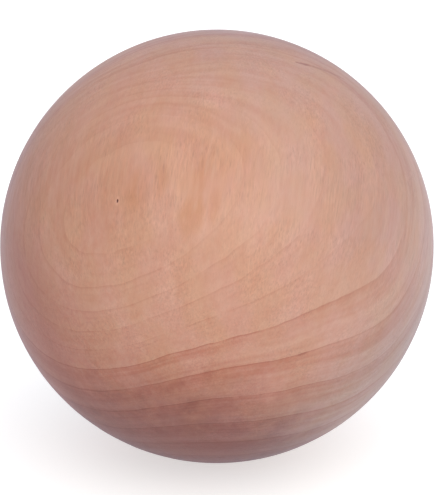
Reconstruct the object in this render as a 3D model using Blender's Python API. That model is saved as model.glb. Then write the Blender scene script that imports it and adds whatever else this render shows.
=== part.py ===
"""Solid wooden ball, turned in one piece from a block of pale, fine-grained hardwood.

Metres, +Z up. The origin is the ball's centre. The face that a viewer in front of it sees,
where the turning has cut the growth rings into nested ovals, looks along -Y.
"""

import bpy

# The one driving dimension: a stock size of turned ball.
BALL_DIAMETER = 0.100

# Facets of the sphere. Both numbers are even, so that points lie on all three axes and the
# ball measures its full diameter along each of them. Every point is on the true sphere, and
# the middle of a facet lies 0.05 mm inside it.
MERIDIANS = 96
PARALLELS = 48

# Sanded hardwood under a thin clear finish: linear colour, satin, not metallic.
WOOD_COLOUR = (0.50, 0.26, 0.18, 1.0)
WOOD_ROUGHNESS = 0.45


def clear_scene():
    for old in list(bpy.data.objects):
        bpy.data.objects.remove(old, do_unlink=True)


def new_collection(name):
    collection = bpy.data.collections.new(name)
    bpy.context.scene.collection.children.link(collection)
    return collection


def wood_material():
    material = bpy.data.materials.new("sanded_hardwood")
    material.use_nodes = True
    shader = material.node_tree.nodes["Principled BSDF"]
    shader.inputs["Base Color"].default_value = WOOD_COLOUR
    shader.inputs["Roughness"].default_value = WOOD_ROUGHNESS
    shader.inputs["Metallic"].default_value = 0.0
    return material


def turned_ball(collection):
    """The whole object: one sphere about the origin, with no hole, flat or seam."""
    bpy.ops.mesh.primitive_uv_sphere_add(
        segments=MERIDIANS,
        ring_count=PARALLELS,
        radius=BALL_DIAMETER / 2,
        location=(0.0, 0.0, 0.0),
    )
    ball = bpy.context.object
    ball.name = "ball"
    ball.data.name = "ball"
    ball.data.shade_smooth()
    ball.data.materials.append(wood_material())
    for holder in list(ball.users_collection):
        holder.objects.unlink(ball)
    collection.objects.link(ball)
    return ball


def main():
    clear_scene()
    turned_ball(new_collection("wooden_ball"))


main()
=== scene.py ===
import math

import bmesh
import bpy
import numpy as np
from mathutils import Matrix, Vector, noise


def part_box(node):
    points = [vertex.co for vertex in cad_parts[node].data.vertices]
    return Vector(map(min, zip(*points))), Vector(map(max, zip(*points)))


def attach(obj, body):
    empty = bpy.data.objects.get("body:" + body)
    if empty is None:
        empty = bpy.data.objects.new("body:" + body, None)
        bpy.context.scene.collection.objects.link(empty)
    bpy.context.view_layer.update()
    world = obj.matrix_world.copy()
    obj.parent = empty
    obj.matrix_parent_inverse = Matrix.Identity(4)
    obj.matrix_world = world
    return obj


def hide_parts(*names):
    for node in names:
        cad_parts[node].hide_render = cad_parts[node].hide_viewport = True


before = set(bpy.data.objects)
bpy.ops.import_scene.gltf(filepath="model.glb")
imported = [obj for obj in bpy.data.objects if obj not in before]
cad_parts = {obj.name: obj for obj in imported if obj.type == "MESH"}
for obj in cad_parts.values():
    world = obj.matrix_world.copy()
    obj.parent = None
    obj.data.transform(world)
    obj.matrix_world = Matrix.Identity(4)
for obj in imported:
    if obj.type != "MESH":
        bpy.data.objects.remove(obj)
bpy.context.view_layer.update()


# ---------------------------------------------------------------------------- the wooden ball
# One block of pale, pinkish hardwood, sawn from the outer part of a stem and turned on a lathe
# to a sphere, then sanded and given one thin satin finish. The cut lays the growth rings open
# as nested ovals, where late wood is redder, denser and stands a hair proud of early wood.

low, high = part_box("ball")
BALL_CENTRE = (low + high) / 2
BALL_RADIUS = (high.x - low.x) / 2
MM = 0.001
RADIUS_MM = BALL_RADIUS / MM


def direction(lean, back):
    """A unit vector that leans so many degrees from upright towards +X, and back towards +Y."""
    lean, back = math.radians(lean), math.radians(back)
    return Vector((math.sin(lean), math.cos(lean) * math.sin(back), math.cos(lean) * math.cos(back)))


def across_of(way, facing):
    """The unit vector square to a way, nearest to a facing."""
    return (facing - way * facing.dot(way)).normalized()


# How the ball sat in the tree: the stem's way up, outwards from the pith through the ball, which
# is nearly towards the front, and across. The fibres spiral a little, so they don't run quite
# along the stem.
STEM = direction(lean=-19, back=37.5)
FACING_TURN = math.radians(5)
OUTWARD = across_of(STEM, Vector((math.sin(FACING_TURN), -math.cos(FACING_TURN), 0)))
ACROSS = STEM.cross(OUTWARD)
FIBRE = direction(lean=7, back=36)
FIBRE_OUT = across_of(FIBRE, OUTWARD)
FIBRE_SIDE = FIBRE.cross(FIBRE_OUT)

# The stem, in millimetres: how deep the pith lies behind the ball's middle, how fast the stem
# bends across and outwards over the ball's height, and a broad swelling and a narrow rib that
# climb round it, each a share of the stem's radius.
PITH_DEPTH = 120.5
BEND_ACROSS = -0.60 / RADIUS_MM
BEND_OUTWARD = 0.277 / RADIUS_MM
SWELLING, SWELLING_AT, SWELLING_WIDTH, SWELLING_CLIMB = 0.077, 0.15, 0.36, 0.126
RIB, RIB_AT, RIB_WIDTH, RIB_CLIMB = 0.015, 0.152, 0.116, -0.1145

# The years of growth: wide rings in the young stem, narrow ones outside, and the stem radius at
# which the one turns into the other.
WIDE_YEAR, NARROW_YEAR = 8.2, 3.2
SLOWED_AT, SLOWED_OVER = 144.9, 8.1
YEAR_OFFSET = -2.07


def stem_radius(across, outward, along):
    """The stem radius, in millimetres, of the ring through a point of the wood."""
    sideways = across - BEND_ACROSS * along ** 2
    forwards = PITH_DEPTH + outward - BEND_OUTWARD * along ** 2
    bearing = sideways / forwards
    height = along / RADIUS_MM
    on_swelling = (bearing - SWELLING_AT - SWELLING_CLIMB * height) / SWELLING_WIDTH
    on_rib = (bearing - RIB_AT - RIB_CLIMB * height) / RIB_WIDTH
    bulge = SWELLING / (1 + on_swelling ** 2) ** 2 + RIB / (1 + on_rib ** 2) ** 2
    return (sideways ** 2 + forwards ** 2) ** 0.5 / (1 + bulge)


# A year's growth per millimetre, midway between the two widths, and how far each is from that.
MEAN_RATE = (1 / NARROW_YEAR + 1 / WIDE_YEAR) / 2
RATE_CHANGE = (1 / NARROW_YEAR - 1 / WIDE_YEAR) / 2


def year_of(radius):
    """The year's growth at a stem radius. A ring ends at each whole number."""
    beyond = radius - SLOWED_AT
    return MEAN_RATE * beyond + RATE_CHANGE * (beyond ** 2 + SLOWED_OVER ** 2) ** 0.5 + YEAR_OFFSET


def year_width(radius):
    """The width in millimetres of the ring at a stem radius."""
    beyond = radius - SLOWED_AT
    return 1 / (MEAN_RATE + RATE_CHANGE * beyond / (beyond ** 2 + SLOWED_OVER ** 2) ** 0.5)


def on_face(right, up):
    """The point of the front of the ball at that many millimetres right and up of its middle."""
    return Vector((right, -math.sqrt(RADIUS_MM ** 2 - right ** 2 - up ** 2), up))


# Marks in the wood, in millimetres.
PIN_KNOT = on_face(-21.3, 22.9)
PIN_HALF_WIDTH, PIN_HALF_HEIGHT, PIN_HALF_DEPTH = 0.18, 0.38, 4.0
PIN_INWARDS = -PIN_KNOT.normalized()
PIN_PIT = 0.35
CHECK_START = Vector((17.6, -8.8, 45.9))
CHECK_END = Vector((28.6, -3.9, 40.8))
CHECK_GROOVE, CHECK_HALF_WIDTH = 0.06, 0.22

# The mesh: a cube's six faces divided into a grid and blown up to the ball, and divided again
# three times round each mark, ever closer to it. The relief is in millimetres.
GRID = 112
FINER_WITHIN = (2.4, 1.4, 0.9)
LATE_WOOD_STANDS = 0.030
SANDING_WAVES, SANDING_WAVE_LENGTH = 0.020, 9


def blown_up(point):
    """A point of a cube of half side 1, moved to the unit sphere so that the grid stays even."""
    even = [math.tan(side * math.pi / 4) for side in point]
    return Vector(even).normalized()


def from_pin_knot(beside, above, inwards):
    """The square of how far a place is from the pin knot, where 1 is the edge of its dead core."""
    width, height, depth = beside / PIN_HALF_WIDTH, above / PIN_HALF_HEIGHT, inwards / PIN_HALF_DEPTH
    return width ** 2 + height ** 2 + depth ** 2


# A stretch shorter than this, squared, counts as a point.
SHORTEST = 1e-9


def off_line(point, start, end):
    """How far a point is from the straight stretch between two others, which may be one point."""
    way = end - start
    share = (point - start).dot(way) / max(way.length_squared, SHORTEST)
    share = min(1, max(0, share))
    return (point - start - way * share).length


def refined(mesh, start, end, reach):
    """Divides the faces within reach of a mark, in millimetres, into four."""
    near = [face for face in mesh.faces
            if off_line(face.calc_center_median() * RADIUS_MM, start, end) < reach]
    edges = list(dict.fromkeys(edge for face in near for edge in face.edges))
    bmesh.ops.subdivide_edges(mesh, edges=edges, cuts=1, use_grid_fill=True)
    for vertex in mesh.verts:
        vertex.co.normalize()


def relief(points):
    """How far each point of the surface, in millimetres, stands proud of the true sphere."""
    across, outward, along = (points @ np.array(axis) for axis in (ACROSS, OUTWARD, STEM))
    ripened = year_of(stem_radius(across, outward, along)) % 1
    waves = np.array([noise.noise(Vector(point) / SANDING_WAVE_LENGTH) for point in points])
    height = LATE_WOOD_STANDS * (ripened ** 2 - 0.5) + SANDING_WAVES * waves
    for index, point in enumerate(Vector(point) for point in points):
        offset = point - PIN_KNOT
        to_pin = from_pin_knot(offset.dot(FIBRE_SIDE), offset.dot(FIBRE), offset.dot(PIN_INWARDS))
        height[index] -= PIN_PIT / (1 + to_pin) ** 3
        groove = off_line(point, CHECK_START, CHECK_END) / CHECK_HALF_WIDTH
        height[index] -= CHECK_GROOVE / (1 + groove ** 2) ** 2
    return height


def turned_ball():
    """The ball's mesh and object, with its relief and its two marks."""
    mesh = bmesh.new()
    bmesh.ops.create_cube(mesh, size=2)
    bmesh.ops.subdivide_edges(mesh, edges=mesh.edges[:], cuts=GRID - 1, use_grid_fill=True)
    for vertex in mesh.verts:
        vertex.co = blown_up(vertex.co)
    for reach in FINER_WITHIN:
        refined(mesh, PIN_KNOT, PIN_KNOT, reach)
        refined(mesh, CHECK_START, CHECK_END, reach)
    points = np.array([vertex.co for vertex in mesh.verts]) * RADIUS_MM
    for vertex, height in zip(mesh.verts, relief(points)):
        vertex.co *= BALL_RADIUS * (1 + height / RADIUS_MM)
    data = bpy.data.meshes.new("turned_ball")
    mesh.to_mesh(data)
    mesh.free()
    data.shade_smooth()
    ball = bpy.data.objects.new("turned_ball", data)
    ball.location = BALL_CENTRE
    bpy.context.scene.collection.objects.link(ball)
    return ball


class Reading:
    """A value that varies through the wood. Arithmetic on it adds Math nodes to its material."""

    def __init__(self, tree, socket):
        self.tree = tree
        self.socket = socket

    def node(self, kind, settings, inputs, output=0):
        """Adds a node: its settings first, then the values or links of its sockets."""
        made = self.tree.nodes.new(kind)
        for name, value in settings.items():
            setattr(made, name, value)
        for name, value in inputs.items():
            if isinstance(value, Reading):
                self.tree.links.new(value.socket, made.inputs[name])
            else:
                made.inputs[name].default_value = value
        return Reading(self.tree, made.outputs[output])

    def math(self, operation, *values):
        """Adds a Math node that works on the values."""
        return self.node("ShaderNodeMath", {"operation": operation}, dict(enumerate(values)))

    def __add__(self, other):
        return self.math("ADD", self, other)

    __radd__ = __add__

    def __sub__(self, other):
        return self.math("SUBTRACT", self, other)

    def __rsub__(self, other):
        return self.math("SUBTRACT", other, self)

    def __mul__(self, other):
        return self.math("MULTIPLY", self, other)

    __rmul__ = __mul__

    def __truediv__(self, other):
        return self.math("DIVIDE", self, other)

    def __rtruediv__(self, other):
        return self.math("DIVIDE", other, self)

    def __pow__(self, power):
        return self.math("MULTIPLY", self, self) if power == 2 else self.math("POWER", self, power)

    def __mod__(self, other):
        return self.math("FLOORED_MODULO", self, other)

    def __abs__(self):
        return self.math("ABSOLUTE", self)

    def vector(self, operation, other):
        """Vector maths with another vector, or with a number to scale by."""
        second = "Scale" if operation == "SCALE" else 1
        return self.node("ShaderNodeVectorMath", {"operation": operation}, {0: self, second: other})

    def along(self, axis):
        """A place's distance along an axis."""
        return self.node("ShaderNodeVectorMath", {"operation": "DOT_PRODUCT"}, {0: self, 1: axis}, "Value")

    def rising(self, start, end):
        """0 below start and 1 above end, with a smooth rise between them; falling if end is lower."""
        return self.node("ShaderNodeMapRange", {"interpolation_type": "SMOOTHSTEP"},
                         {"Value": self, "From Min": start, "From Max": end})


def cloud(place, size, detail, roughness=0.5):
    """Noise about 0, from -1 to 1, of blotches of a size in millimetres."""
    value = place.node("ShaderNodeTexNoise", {},
                       {"Vector": place, "Scale": 1 / size, "Detail": detail, "Roughness": roughness})
    return (value - 0.5) * 2


def drawn_out(place, thickness, length):
    """The place in fibre directions, squeezed so that noise of size 1 is so thick and so long."""
    return place.node("ShaderNodeCombineXYZ", {}, {
        "X": place.along(FIBRE_SIDE) / thickness,
        "Y": place.along(FIBRE_OUT) / thickness,
        "Z": place.along(FIBRE) / length,
    })


def fibrous(place, thickness, length, detail, roughness=0.5):
    """Noise about 0, from -1 to 1, that is drawn out along the fibres, in millimetres."""
    return cloud(drawn_out(place, thickness, length), 1, detail, roughness)


def streak(place, start, end, half_width, fray):
    """1 along a streak from start to end, and 0 beyond its half width, with a soft edge."""
    way = (end - start).normalized()
    offset = place.vector("SUBTRACT", (start + end) / 2)
    lengthwise = offset.along(way)
    beside = offset.along(offset) - lengthwise ** 2
    reach = (lengthwise / ((end - start).length / 2)) ** 2 + beside / half_width ** 2
    return (reach + fray).rising(STREAK_EDGE, 0.0)


def streaks(place, marks, fray):
    """The strongest of a set of streaks at each place, and 0 where there is none."""
    found = place.along((0, 0, 0))
    for start, end, half_width, strength in marks:
        found = found.math("MAXIMUM", found, streak(place, start, end, half_width, fray) * strength)
    return found


def tinted(colour, amount, tint):
    """A colour with some of a tint worked into it."""
    return amount.node("ShaderNodeMix", {"data_type": "RGBA", "blend_type": "MULTIPLY"},
                       {0: amount, 6: colour, 7: tint}, 2)


# Linear colours. The wood's own is that of pale early wood, and the others are the tints that
# multiply it: those of the rings, then those of patches and streaks, then those of the ball's
# sides, some of which are painted shade, light and reflection, and last those of the marks.
PALE_WOOD = (0.532, 0.282, 0.203, 1)
LATE_TINT = (0.80, 0.56, 0.50, 1)
LINE_TINT = (0.70, 0.48, 0.42, 1)
HEART_TINT = (0.90, 0.77, 0.74, 1)
OCHRE_TINT = (0.97, 0.97, 0.84, 1)
OILY_TINT = (0.90, 0.72, 0.50, 1)
PALE_TINT = (1.07, 1.10, 1.16, 1)
SAP_TINT = (0.92, 0.99, 1.09, 1)
# Of the next five, the ruddy tint is redder wood and painted shade, the mauve is painted cool shade, the
# cool is painted cool light, the top is a painted bluish reflection, and the end tint is end grain with
# painted shade at the lower end.
RUDDY_AND_SHADE_TINT = (0.72, 0.53, 0.53, 1)
MAUVE_SHADE_TINT = (0.80, 0.95, 1.09, 1)
COOL_LIGHT_TINT = (1.00, 1.05, 1.13, 1)
TOP_REFLECTION_TINT = (1.16, 1.25, 1.37, 1)
END_GRAIN_AND_SHADE_TINT = (0.50, 0.40, 0.49, 1)
CHECK_TINT = (0.62, 0.40, 0.42, 1)
HALO_TINT = (1.16, 1.20, 1.26, 1)
DEAD_TINT = (0.20, 0.10, 0.08, 1)

# The ball's own axes.
RIGHT = Vector((1, 0, 0))
UP = Vector((0, 0, 1))

# Which way the wood of each kind lies from the ball's middle. Heartwood is reddest at the lower
# left. The sapwood is greyest at the upper right. The ruddy side is redder wood and painted shade
# to the left, with most of both at the lower left limb. The mauve side is painted cool shade at
# the lower right limb, the cool side is painted cool light at the lower right, and the top is a
# painted bluish reflection at the top rim.
HEART_SIDE = Vector((-0.77, -0.20, -0.60))
SAP_SIDE = Vector((0.75, 0.10, 0.65))
RUDDY_AND_SHADE_SIDE = Vector((-0.89, 0.26, -0.36))
RUDDIEST_AND_SHADE_SIDE = Vector((-0.79, -0.54, -0.29))
MAUVE_SHADE_SIDE = Vector((0.66, -0.35, -0.66))
COOL_LIGHT_SIDE = Vector((0.76, -0.58, -0.30))
TOP_REFLECTION_SIDE = Vector((0.05, 0.55, 0.84))

# How far out along its way, in millimetres, each kind begins and is full.
HEART_SPAN = (-6, 36)
SAP_SPAN = (8, 40)
RUDDY_AND_SHADE_SPAN = (16, 40)
RUDDIEST_AND_SHADE_SPAN = (40, 50)
MAUVE_SHADE_SPAN = (35, 48)
COOL_LIGHT_SPAN = (28, 47)
TOP_REFLECTION_SPAN = (40, 50)

# Noise drawn out along the fibres: thickness and length in millimetres, detail, and roughness
# where it isn't the usual.
BANDS = (3.0, 26, 2)
STRIPES = (1.1, 16, 2)
MOTTLE = (1.1, 2.8, 3, 0.7)
FINE_LINES = (0.40, 3.6, 2, 0.6)
PORES = (0.24, 2.6, 1)
BLOTCHES = (4.5, 9, 3, 0.6)
OCHRE_PATCHES = (7, 12, 2)
SAP_PATCHES = (6, 10, 2)

# Marks on the face, in millimetres from the ball's middle: where a streak starts and ends, its
# half width, and its strength. Where the reach passes the edge, the streak has faded away.
STREAK_EDGE = 1.7
OILY_STREAKS = (
    (Vector((4.0, -30.4, 39.6)), Vector((-3.4, -43.0, 25.2)), 11.0, 0.66),
    (Vector((3.8, -33.0, 37.4)), Vector((-1.6, -37.2, 33.2)), 4.2, 0.80),
    (Vector((-2.2, -36.5, 34.0)), Vector((-4.6, -43.4, 24.4)), 2.0, 1.00),
    (Vector((-3.6, -42.0, 26.6)), Vector((-6.4, -46.4, 17.4)), 2.7, 0.85),
    (Vector((0.4, -41.0, 28.4)), Vector((-1.2, -46.0, 19.2)), 1.5, 0.85),
    (Vector((-16.4, -37.0, 29.0)), Vector((-17.8, -41.4, 21.4)), 2.8, 0.60),
    (Vector((-11.0, -37.5, 31.0)), Vector((-12.4, -42.0, 24.0)), 1.6, 0.55),
)
PALE_STREAKS = (
    (Vector((-3.4, -27.0, 42.0)), Vector((3.6, -27.2, 41.8)), 2.2, 0.7),
    (Vector((-3.5, -46.3, 18.6)), Vector((5.0, -36.8, 33.5)), 1.3, 0.6),
    (Vector((-8.2, -35.0, 34.8)), Vector((-9.6, -43.0, 23.6)), 1.4, 0.6),
    (Vector((-10.5, -47.0, 13.5)), Vector((-9.0, -48.9, 4.0)), 1.5, 0.5),
)
CHECK_DARKEST = CHECK_START * 0.6 + CHECK_END * 0.4
DARK_MARKS = (
    (CHECK_START, CHECK_DARKEST, 0.60, 1.0),
    (CHECK_START, CHECK_END, 0.62, 0.6),
    (Vector((17.2, -45.9, -10.0)), Vector((19.6, -45.0, -9.4)), 0.30, 0.6),
)

# The rings. They wander a little from the stem's figure, in wide and in fine waves: the size of
# each wave and its strength, in millimetres.
WIDE_WAVE, WIDE_WANDER = 11, 0.45
FINE_WAVE, FINE_WANDER = 3.2, 0.14

# The inner wood, older than this year, is heartwood, in wide rings from the tree's youth. It
# begins at that year's line, and its colour deepens through the next ring inwards. Rings of all
# ages show more strongly low on the ball, over this span of height.
HEART_ENDS = -2.0
YOUNG_SPAN = (HEART_ENDS + 0.02, HEART_ENDS - 0.02)
RIPE_SPAN = (HEART_ENDS + 0.1, HEART_ENDS - 1.0)
LOWER_SPAN = (34, 2)

# Late wood: the shares of a year where it begins and is full, and its strength everywhere, low
# on the ball, in heartwood, by blotches, and by blotches in heartwood.
BAND_SPAN = (0.40, 0.74)
BAND, BAND_LOWER, BAND_HEART = 0.09, 0.10, 0.22
BAND_BLOTCHED, BAND_HEART_BLOTCHED = 0.2, 0.4


def late_band(ripened, lower, heart, blotch):
    """The broad band of late wood through the second half of a year."""
    strength = BAND + lower * BAND_LOWER + heart * BAND_HEART
    strength = strength + blotch * (BAND_BLOTCHED + heart * BAND_HEART_BLOTCHED)
    return ripened.rising(*BAND_SPAN) * strength


# Flushes: their size in millimetres, their strength everywhere, in the young rings and near the
# top, where the rings are cut steeply across, and the heights where that begins and is full.
FLUSH_THICKNESS, FLUSH_LENGTH = 0.9, 26
FLUSH, FLUSH_YOUNG, FLUSH_CROSSED = 0.08, 0.42, 0.36
CROSSED_SPAN = (30, 44)


def flushes(place, radius, young):
    """Thin flushes of growth within the rings, long and even in them and uneven across them."""
    by_ring = place.node("ShaderNodeCombineXYZ", {}, {
        "X": radius / FLUSH_THICKNESS,
        "Y": place.along(ACROSS) / FLUSH_LENGTH,
        "Z": place.along(STEM) / FLUSH_LENGTH,
    })
    crossed = place.along(UP).rising(*CROSSED_SPAN)
    return cloud(by_ring, 1, 1) * (FLUSH + young * FLUSH_YOUNG + crossed * FLUSH_CROSSED)


# Fresh growth: how far outside the last year's line it is gone and still full, in millimetres,
# with what the young rings add to each, its strength, and the size of its patches.
FRESH_GONE, FRESH_GONE_YOUNG = 1.7, 1.6
FRESH_FULL, FRESH_FULL_YOUNG = 0.7, 0.8
FRESH, FRESH_YOUNG, FRESH_PATCHY = 0.09, 0.05, 0.20
FRESH_PATCH = 10


def fresh_growth(place, from_line, young):
    """The pale first growth of a year, wider and paler in the young rings."""
    gone = FRESH_GONE + young * FRESH_GONE_YOUNG
    full = FRESH_FULL + young * FRESH_FULL_YOUNG
    patchy = cloud(place, FRESH_PATCH, 1) * FRESH_PATCHY
    return from_line.rising(gone, full) * (FRESH + young * FRESH_YOUNG + patchy)


# The last line of a year: its width in millimetres, its strength everywhere and low on the
# ball, how many times more it has in the young rings, and how much it fades towards the right.
# Then the size of the gaps in it, how they open, and what closes them.
LINE_WIDTH = 0.42
LINE, LINE_LOWER, LINE_MORE_YOUNG = 0.07, 0.20, 1.5
LINE_FADES, LINE_FADES_SPAN = 0.6, (4, 40)
GAP_SIZE, GAP_SPAN = 8, (-0.10, 0.24)
CLOSED_LOWER, CLOSED_YOUNG = 0.20, 0.1


def last_line(place, to_line, young, lower):
    """The thin dark line that ends a year. It is broken, and fainter to the right."""
    whole = cloud(place, GAP_SIZE, 2) + lower * CLOSED_LOWER + young * CLOSED_YOUNG
    line = to_line.rising(LINE_WIDTH, 0.0) * whole.rising(*GAP_SPAN) * (LINE + lower * LINE_LOWER)
    fading = place.along(RIGHT).rising(*LINE_FADES_SPAN) * LINE_FADES
    return line * (1 + young * LINE_MORE_YOUNG) * (1 - fading)


# False lines: how far inside the last line each lies and its half width, in millimetres, and
# its share of their strength. Then the size and span of the patches that they show in.
NEAR_LINE, NEAR_HALF_WIDTH = 1.1, 0.30
FAR_LINE, FAR_HALF_WIDTH, FAR_SHARE = 1.9, 0.26, 0.7
FALSE_LINES = 0.14
FALSE_PATCH, FALSE_SPAN = 8, (-0.05, 0.3)


def false_lines(place, to_line, lower):
    """Two fainter lines inside the last one, in patches, where growth had stopped for a while."""
    near = abs(to_line - NEAR_LINE).rising(NEAR_HALF_WIDTH, 0.0)
    far = abs(to_line - FAR_LINE).rising(FAR_HALF_WIDTH, 0.0) * FAR_SHARE
    patches = cloud(place, FALSE_PATCH, 1).rising(*FALSE_SPAN)
    return (near + far) * patches * FALSE_LINES * lower


def growth_rings(place, heart, blotch):
    """How much late wood, how much of a ring's dark lines, and how much ripe heartwood a place is."""
    wander = cloud(place, WIDE_WAVE, 1) * WIDE_WANDER + cloud(place, FINE_WAVE, 1) * FINE_WANDER
    radius = stem_radius(place.along(ACROSS), place.along(OUTWARD), place.along(STEM)) + wander
    year = year_of(radius)
    width = year_width(radius)
    ripened = year % 1
    to_line = (1 - ripened) * width
    young = year.rising(*YOUNG_SPAN)
    lower = place.along(UP).rising(*LOWER_SPAN)
    late = late_band(ripened, lower, heart, blotch) * young
    late = late + flushes(place, radius, young) - fresh_growth(place, ripened * width, young)
    lines = last_line(place, to_line, young, lower) + false_lines(place, to_line, lower)
    return late, lines, heart * year.rising(*RIPE_SPAN)


# End grain: how squarely the surface must cut the fibres for it to begin and be full, how much
# blotches shift that, its strength at both ends, and the painted shade that the lower end has more.
END_SPAN, END_BLOTCHED = (0.50, 0.98), 0.14
END, END_LOWER_SHADE, END_LOWER_SHADE_SPAN = 0.3, 0.7, (0, -25)


def end_grain_and_shade(place, blotch):
    """How much a place shows the fibres' cut ends, which soak up finish, most at the lower end, where
    painted shade is added.
    """
    cut = (place.along(FIBRE) / RADIUS_MM) ** 2 + blotch * END_BLOTCHED
    return cut.rising(*END_SPAN) * (END + place.along(FIBRE).rising(*END_LOWER_SHADE_SPAN) * END_LOWER_SHADE)


# How much of the late wood's tint there is besides that of the rings: everywhere, more for each
# millimetre to the left, more below, where it is redder wood and painted shade, and with each kind
# of noise.
LATE_EVERYWHERE = 0.18
LATE_LEFTWARDS = 0.0016
LATE_AND_SHADE_BELOW, LATE_AND_SHADE_BELOW_SPAN = 0.26, (6, -14)
LATE_BY_BANDS, LATE_BY_STRIPES = 0.20, 0.20
LATE_BY_MOTTLE, LATE_BY_HEART_MOTTLE = 0.34, 0.26
LATE_BY_BROAD, BROAD_SIZE = 0.12, 24


def ringed_colour(place, bands, stripes, mottle):
    """The wood's colour with its rings and heartwood, darker low on the ball partly by painted shade."""
    heart = place.along(HEART_SIDE).rising(*HEART_SPAN)
    blotch = fibrous(place, *BLOTCHES)
    rings, lines, ripe_heart = growth_rings(place, heart, blotch)
    late = rings + LATE_EVERYWHERE - place.along(RIGHT) * LATE_LEFTWARDS
    # Redder wood and painted shade low on the ball.
    late = late + place.along(UP).rising(*LATE_AND_SHADE_BELOW_SPAN) * LATE_AND_SHADE_BELOW
    late = late + bands * LATE_BY_BANDS + stripes * LATE_BY_STRIPES
    late = late + mottle * (LATE_BY_MOTTLE + heart * LATE_BY_HEART_MOTTLE)
    late = late + cloud(place, BROAD_SIZE, 1) * LATE_BY_BROAD
    colour = tinted(PALE_WOOD, late, LATE_TINT)
    colour = tinted(colour, ripe_heart, HEART_TINT)
    colour = tinted(colour, lines, LINE_TINT)
    return colour, blotch


# How much ochre its patches have, how strongly each kind of noise frays the streaks, and how
# much oil they have, evenly and by stripes.
OCHRE, OCHRE_SPAN = 0.7, (-0.3, 0.3)
FRAY_BY_BANDS, FRAY_BY_STRIPES, FRAY_BY_MOTTLE = 1.0, 1.6, 0.8
OIL, OIL_BY_STRIPES = 0.65, 0.8


def streaked(place, colour, bands, stripes, mottle):
    """The colour with ochre patches, and with oily and pale streaks that fray along the fibres."""
    ochre = fibrous(place, *OCHRE_PATCHES).rising(*OCHRE_SPAN) * OCHRE
    fray = bands * FRAY_BY_BANDS + stripes * FRAY_BY_STRIPES + mottle * FRAY_BY_MOTTLE
    oily = streaks(place, OILY_STREAKS, fray) * (OIL + stripes * OIL_BY_STRIPES)
    colour = tinted(colour, ochre, OCHRE_TINT)
    colour = tinted(colour, oily, OILY_TINT)
    return tinted(colour, streaks(place, PALE_STREAKS, fray), PALE_TINT)


# How uneven the greyer sapwood is, and how much the ruddiest part, redder wood and painted shade
# at the lower left limb, adds to the ruddy side.
SAP_PATCHY = 1.1
RUDDIEST_AND_SHADE = 0.45


def sided(place, colour, blotch):
    """The colour with the differences between the ball's sides, partly painted shade, light and
    reflection.
    """
    patchy = 1 + fibrous(place, *SAP_PATCHES) * SAP_PATCHY
    # The ruddy side: redder wood and painted shade on the left, with more of both at the lower left limb.
    ruddiest_and_shade = place.along(RUDDIEST_AND_SHADE_SIDE).rising(*RUDDIEST_AND_SHADE_SPAN) * RUDDIEST_AND_SHADE
    ruddy_and_shade = place.along(RUDDY_AND_SHADE_SIDE).rising(*RUDDY_AND_SHADE_SPAN) + ruddiest_and_shade
    colour = tinted(colour, place.along(SAP_SIDE).rising(*SAP_SPAN) * patchy, SAP_TINT)
    colour = tinted(colour, ruddy_and_shade, RUDDY_AND_SHADE_TINT)
    # Painted cool shade on the lower right limb.
    colour = tinted(colour, place.along(MAUVE_SHADE_SIDE).rising(*MAUVE_SHADE_SPAN), MAUVE_SHADE_TINT)
    # Painted cool light on the lower right side.
    colour = tinted(colour, place.along(COOL_LIGHT_SIDE).rising(*COOL_LIGHT_SPAN), COOL_LIGHT_TINT)
    # A painted bluish reflection, lighter, at the top rim.
    colour = tinted(colour, place.along(TOP_REFLECTION_SIDE).rising(*TOP_REFLECTION_SPAN), TOP_REFLECTION_TINT)
    # End grain at both ends, with painted shade added at the lower end.
    return tinted(colour, end_grain_and_shade(place, blotch), END_GRAIN_AND_SHADE_TINT)


# How strongly mottling frays the dark marks, and where the pin knot's halo and its dead core
# begin and are full, as squares of the distance from it.
DARK_FRAY = 1.5
HALO_SPAN = (12, 3)
DEAD_SPAN = (1.8, 0.6)


def marked(place, colour, mottle):
    """The colour with the check, a dash of resin, and the pin knot in its pale halo."""
    colour = tinted(colour, streaks(place, DARK_MARKS, mottle * DARK_FRAY), CHECK_TINT)
    offset = place.vector("SUBTRACT", PIN_KNOT)
    to_pin = from_pin_knot(offset.along(FIBRE_SIDE), offset.along(FIBRE), offset.along(PIN_INWARDS))
    colour = tinted(colour, to_pin.rising(*HALO_SPAN), HALO_TINT)
    return tinted(colour, to_pin.rising(*DEAD_SPAN), DEAD_TINT)


# The fibres' fine grain: where noise makes a pore, how much mottling, lines and pores lighten
# and darken the wood, and how strong the last two are where the grain is faintest, what they
# gain elsewhere, and the size and span of those areas.
PORE_SPAN = (0.0, 0.6)
SHADE_BY_MOTTLE, SHADE_BY_LINES, SHADE_BY_PORES = 0.08, 0.185, 0.13
GRAIN_LEAST, GRAIN_GAIN = 0.35, 0.9
GRAIN_SIZE, GRAIN_SPAN = 9, (-0.35, 0.35)

# The finish: satin, a little rougher over pores, under a thin clear coat. It has a faint cool
# bloom, which shows where it is seen at a slant. The depth of the bump, which sinks at pores, is
# in metres.
SATIN = 0.44
SATIN_BY_MOTTLE, SATIN_BY_PORES = 0.04, 0.06
COAT_WEIGHT, COAT_ROUGHNESS = 0.12, 0.38
BLOOM_WEIGHT, BLOOM_ROUGHNESS = 0.14, 0.30
BLOOM_COLOUR = (0.50, 0.62, 1.0, 1)
BUMP_STRENGTH, BUMP_DEPTH = 0.3, 0.00004
BUMP_BY_MOTTLE, BUMP_BY_PORES, BUMP_BY_LINES = 0.15, 0.6, 0.3


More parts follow.
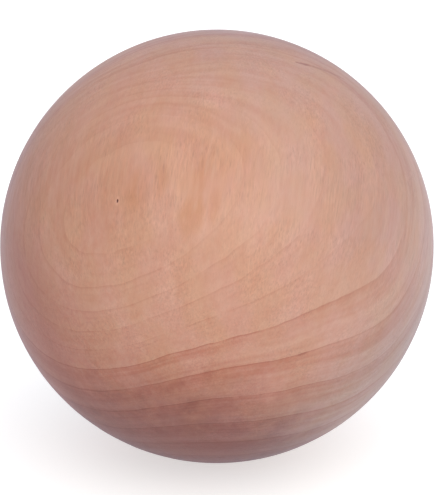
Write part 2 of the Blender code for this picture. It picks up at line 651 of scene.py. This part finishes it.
def wood_material():
    """Satin hardwood: its colour, how it shines, and the fine relief of its pores."""
    material = bpy.data.materials.new("satin_hardwood")
    material.use_nodes = True
    tree = material.node_tree
    shader = tree.nodes["Principled BSDF"]
    coordinates = tree.nodes.new("ShaderNodeTexCoord")
    place = Reading(tree, coordinates.outputs["Object"]).vector("SCALE", 1 / MM)

    bands = fibrous(place, *BANDS)
    stripes = fibrous(place, *STRIPES)
    mottle = fibrous(place, *MOTTLE)
    lines = fibrous(place, *FINE_LINES)
    pores = fibrous(place, *PORES).rising(*PORE_SPAN)

    colour, blotch = ringed_colour(place, bands, stripes, mottle)
    colour = streaked(place, colour, bands, stripes, mottle)
    colour = sided(place, colour, blotch)
    colour = marked(place, colour, mottle)
    grainy = cloud(place, GRAIN_SIZE, 2).rising(*GRAIN_SPAN) * GRAIN_GAIN + GRAIN_LEAST
    shade = 1 + mottle * SHADE_BY_MOTTLE + (lines * SHADE_BY_LINES - pores * SHADE_BY_PORES) * grainy
    colour = colour.vector("SCALE", shade)
    roughness = SATIN + mottle * SATIN_BY_MOTTLE + pores * SATIN_BY_PORES
    height = mottle * BUMP_BY_MOTTLE - pores * BUMP_BY_PORES + lines * BUMP_BY_LINES
    bump = height.node("ShaderNodeBump", {}, {
        "Height": height,
        "Strength": BUMP_STRENGTH,
        "Distance": BUMP_DEPTH,
    })

    tree.links.new(colour.socket, shader.inputs["Base Color"])
    tree.links.new(roughness.socket, shader.inputs["Roughness"])
    tree.links.new(bump.socket, shader.inputs["Normal"])
    shader.inputs["Coat Weight"].default_value = COAT_WEIGHT
    shader.inputs["Coat Roughness"].default_value = COAT_ROUGHNESS
    shader.inputs["Sheen Weight"].default_value = BLOOM_WEIGHT
    shader.inputs["Sheen Roughness"].default_value = BLOOM_ROUGHNESS
    shader.inputs["Sheen Tint"].default_value = BLOOM_COLOUR
    return material


ball = turned_ball()
ball.data.materials.append(wood_material())
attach(ball, "root")
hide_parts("ball")


# ---------------------------------------------------------------------------- the floor
# A plain, matt, nearly white board that the ball rests on. It glows faintly, as a light table
# does, and looks whiter than the light that it gives the ball. It isn't part of the object.

FLOOR_SIZE = 12.0
FLOOR_WHITE = (0.60, 0.60, 0.60, 1)
FLOOR_ROUGHNESS = 0.9
FLOOR_GLOW, FLOOR_GLOW_SEEN = 0.36, 0.22


def white_floor():
    """The floor, level with the ball's lowest point."""
    bpy.ops.mesh.primitive_plane_add(size=FLOOR_SIZE, location=(BALL_CENTRE.x, BALL_CENTRE.y, low.z))
    floor = bpy.context.object
    floor.name = "white_floor"
    material = bpy.data.materials.new("matt_white")
    material.use_nodes = True
    tree = material.node_tree
    shader = tree.nodes["Principled BSDF"]
    light_path = tree.nodes.new("ShaderNodeLightPath")
    glow = Reading(tree, light_path.outputs["Is Camera Ray"]) * FLOOR_GLOW_SEEN + FLOOR_GLOW
    tree.links.new(glow.socket, shader.inputs["Emission Color"])
    shader.inputs["Emission Strength"].default_value = 1.0
    shader.inputs["Base Color"].default_value = FLOOR_WHITE
    shader.inputs["Roughness"].default_value = FLOOR_ROUGHNESS
    floor.data.materials.append(material)
    return floor


white_floor()


# ---------------------------------------------------------------------------- the light
# A wide, soft, slightly warm light high in front and a little to the right, as through a large
# diffuser. The room around the ball is a little cooler, brightest above and behind. It looks
# white, but it lights the ball dimly.

LIGHT_FROM = Vector((0.14, -0.49, 0.56))
LIGHT_WIDTH = math.radians(80)
LIGHT_COLOUR = (1.03, 1.00, 0.93)
LIGHT_STRENGTH = 2.55
ROOM_COLOUR = (0.93, 1.0, 1.14, 1)
ROOM_BRIGHTEST = Vector((0.05, 0.66, 0.75))
ROOM_SPAN = (0.1, 1.0)
ROOM_DIM, ROOM_BRIGHT, ROOM_SEEN = 0.29, 0.66, 0.75

diffuser = bpy.data.lights.new("diffuser", "SUN")
diffuser.angle = LIGHT_WIDTH
diffuser.color = LIGHT_COLOUR
diffuser.energy = LIGHT_STRENGTH
lamp = bpy.data.objects.new("diffuser", diffuser)
lamp.rotation_euler = LIGHT_FROM.to_track_quat("Z", "Y").to_euler()
bpy.context.scene.collection.objects.link(lamp)

room = bpy.data.worlds.new("white_room")
room.use_nodes = True
background = room.node_tree.nodes["Background"]
background.inputs["Color"].default_value = ROOM_COLOUR
looking = Reading(room.node_tree, room.node_tree.nodes.new("ShaderNodeTexCoord").outputs["Generated"])
brightness = ROOM_DIM + looking.along(ROOM_BRIGHTEST).rising(*ROOM_SPAN) * (ROOM_BRIGHT - ROOM_DIM)
brightness = brightness + looking.node("ShaderNodeLightPath", {}, {}, "Is Camera Ray") * ROOM_SEEN
room.node_tree.links.new(brightness.socket, background.inputs["Strength"])
bpy.context.scene.world = room
bpy.context.scene.view_settings.view_transform = "Standard"


# ---------------------------------------------------------------------------- the camera
# A long lens a little above the ball, close enough for the ball to fill the picture's width.

CAMERA_DISTANCE = 0.6
CAMERA_ELEVATION = math.radians(18)
FRAME_WIDTH, FRAME_HEIGHT = 435, 495
BALL_SHARE = 0.997
AIM_OFFSET = Vector((0.14, 0, -0.28)) * MM
SENSOR = 36.0

half_ball = math.tan(math.asin(BALL_RADIUS / CAMERA_DISTANCE))
half_height = half_ball / BALL_SHARE * FRAME_HEIGHT / FRAME_WIDTH
camera = bpy.data.cameras.new("camera")
camera.sensor_width = SENSOR
camera.lens = SENSOR / 2 / half_height
viewer = bpy.data.objects.new("camera", camera)
towards = Vector((0, -math.cos(CAMERA_ELEVATION), math.sin(CAMERA_ELEVATION)))
viewer.location = BALL_CENTRE + AIM_OFFSET + towards * CAMERA_DISTANCE
viewer.rotation_euler = (-towards).to_track_quat("-Z", "Y").to_euler()
bpy.context.scene.collection.objects.link(viewer)
bpy.context.scene.camera = viewer
